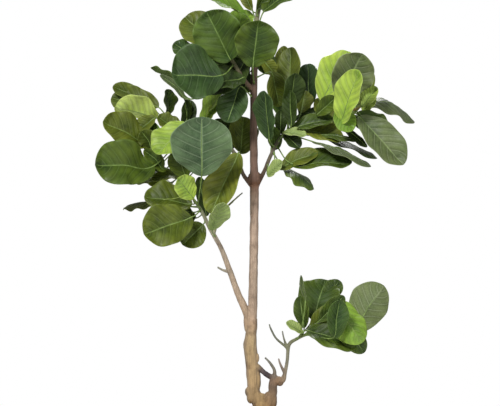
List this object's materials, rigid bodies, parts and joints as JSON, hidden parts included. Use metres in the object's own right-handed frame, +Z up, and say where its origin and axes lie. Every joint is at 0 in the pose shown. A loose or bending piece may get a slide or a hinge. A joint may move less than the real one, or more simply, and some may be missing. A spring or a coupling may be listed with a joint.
{
  "type": "potted fiddle leaf fig",
  "caption": "Potted fiddle leaf fig tree: a forked woody stem with broad waxy leaves on short stalks, standing in soil in a plain tapered terracotta pot.",
  "frame": {"origin": "middle of the pot's flat base, on the ground", "axes": "+Z up along the main stem, -Y towards the plant's front, +X to the right as seen from the front"},
  "size_m": [0.8758, 0.3334, 1.4976],
  "materials": {
    "terracotta": "unglazed terracotta, matte",
    "soil_mix": "loose dark potting mix, matte",
    "bark": "grey-tan bark, matte, purple-brown on the young top",
    "leaf_dark": "waxy, satin, deep green",
    "leaf_blue": "waxy, satin, deep green with a bluish sheen",
    "leaf_green": "waxy, satin, mid green",
    "leaf_olive": "waxy, satin, olive green",
    "leaf_bright": "waxy, satin, bright green",
    "leaf_light": "matte pale underside showing",
    "leaf_young": "soft, satin, yellow-green young leaf"
  },
  "bodies": {
    "root": {"pot": "terracotta", "soil": "soil_mix", "trunk": "bark", "main_stem": "bark", "left_branch": "bark", "crown_twig": "bark", "left_twig": "bark", "right_twig": "bark", "right_shoot": "bark", "top_leaf_1": "leaf_bright", "top_leaf_2": "leaf_dark", "top_leaf_3": "leaf_young", "top_leaf_4": "leaf_dark", "top_leaf_5": "leaf_dark", "upper_left_leaf_1": "leaf_olive", "upper_left_leaf_2": "leaf_green", "upper_left_leaf_3": "leaf_green", "upper_left_leaf_4": "leaf_dark", "upper_left_leaf_5": "leaf_young", "upper_left_leaf_6": "leaf_dark", "upper_left_leaf_7": "leaf_dark", "upper_left_leaf_8": "leaf_dark", "upper_left_leaf_9": "leaf_bright", "left_leaf_1": "leaf_olive", "left_leaf_2": "leaf_light", "left_leaf_3": "leaf_olive", "left_leaf_4": "leaf_dark", "left_leaf_5": "leaf_bright", "left_leaf_6": "leaf_dark", "left_leaf_7": "leaf_blue", "left_leaf_8": "leaf_dark", "left_leaf_9": "leaf_olive", "left_leaf_10": "leaf_bright", "left_leaf_11": "leaf_olive", "lower_left_leaf_1": "leaf_olive", "lower_left_leaf_2": "leaf_olive", "lower_left_leaf_3": "leaf_olive", "lower_left_leaf_4": "leaf_olive", "lower_left_leaf_5": "leaf_light", "right_leaf_1": "leaf_bright", "right_leaf_2": "leaf_dark", "right_leaf_3": "leaf_dark", "right_leaf_4": "leaf_blue", "right_leaf_5": "leaf_dark", "right_leaf_6": "leaf_dark", "right_leaf_7": "leaf_olive", "right_leaf_8": "leaf_blue", "right_leaf_9": "leaf_olive", "right_leaf_10": "leaf_blue", "right_leaf_11": "leaf_bright", "right_leaf_12": "leaf_green", "right_leaf_13": "leaf_bright", "right_leaf_14": "leaf_dark", "right_leaf_15": "leaf_dark", "right_leaf_16": "leaf_dark", "right_leaf_17": "leaf_olive", "low_right_leaf_1": "leaf_dark", "low_right_leaf_2": "leaf_blue", "low_right_leaf_3": "leaf_young", "low_right_leaf_4": "leaf_dark"}
  },
  "joints": []
}
